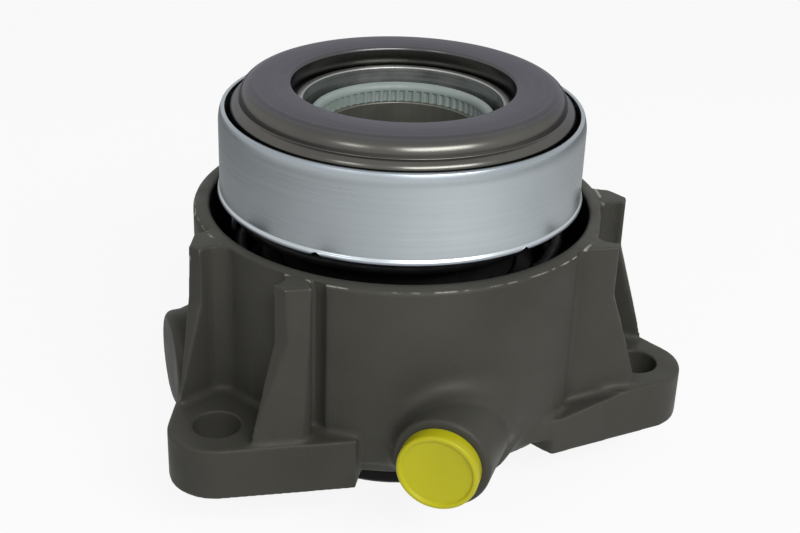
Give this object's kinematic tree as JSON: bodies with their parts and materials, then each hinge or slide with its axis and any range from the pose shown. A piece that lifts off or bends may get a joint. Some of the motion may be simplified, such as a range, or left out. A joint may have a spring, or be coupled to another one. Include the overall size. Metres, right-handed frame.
{
  "type": "concentric clutch release cylinder",
  "caption": "Hydraulic clutch release cylinder with a sliding ring piston, a turning ball release bearing on top, a cast housing with bolt lugs and a plugged fluid inlet.",
  "frame": {"origin": "on the shaft axis, in the plane of the mounting face under the lugs", "axes": "+Z along the shaft axis towards the release face; the inlet points to -Y and slightly -X, beside the shaft axis"},
  "size_m": [0.1006, 0.1049, 0.0738],
  "materials": {
    "cast_alloy": "dull grey as-cast alloy",
    "sleeve_steel": "oiled, brownish steel tube",
    "black_rubber": "matte black",
    "pale_plastic": "pale grey moulding",
    "dark_plastic": "black glass-filled moulding",
    "band_plastic": "off-white low-friction band",
    "spring_steel": "oil-tempered wire",
    "zinc_sheet": "bright zinc-plated sheet",
    "race_steel": "ground steel",
    "dark_steel": "dark hardened steel",
    "ball_steel": "polished",
    "cage_plastic": "moulded polyamide",
    "yellow_plastic": "soft yellow moulding"
  },
  "bodies": {
    "housing": {"housing": "cast_alloy", "guide_sleeve": "sleeve_steel", "sleeve_o_ring": "black_rubber", "stop_ring": "pale_plastic", "spigot_seal": "black_rubber", "preload_spring": "spring_steel"},
    "piston": {"piston": "dark_plastic", "seal_support": "pale_plastic", "piston_seal": "black_rubber", "guide_band": "band_plastic", "spring_seat": "dark_plastic", "shroud": "zinc_sheet", "race_clip": "spring_steel", "standing_race": "race_steel", "front_seal": "black_rubber", "rear_seal": "black_rubber"},
    "turning_race": {"turning_race": "dark_steel"},
    "ball_set": {"balls": "ball_steel", "cage": "cage_plastic"},
    "inlet_plug": {"inlet_plug": "yellow_plastic"}
  },
  "joints": [
    {"name": "release_stroke", "type": "slide", "parent": "housing", "child": "piston", "axis": [0, 0, 1], "range_m": [-0.014, 0], "stiffness_N_per_m": 3000, "springref_m": 0.02, "deforming": ["preload_spring"]},
    {"name": "bearing_spin", "type": "hinge", "parent": "piston", "child": "turning_race", "pos_m": [0, 0, 0.0525], "axis": [0, 0, 1], "continuous": true},
    {"name": "cage_spin", "type": "hinge", "parent": "piston", "child": "ball_set", "pos_m": [0, 0, 0.0525], "axis": [0, 0, 1], "continuous": true},
    {"name": "plug_pull", "type": "slide", "parent": "housing", "child": "inlet_plug", "axis": [-0.2588, -0.9659, 0], "range_m": [0, 0.025]}
  ],
  "couplings": [
    {"joint": "cage_spin", "follows": "bearing_spin", "ratio": 0.547}
  ]
}
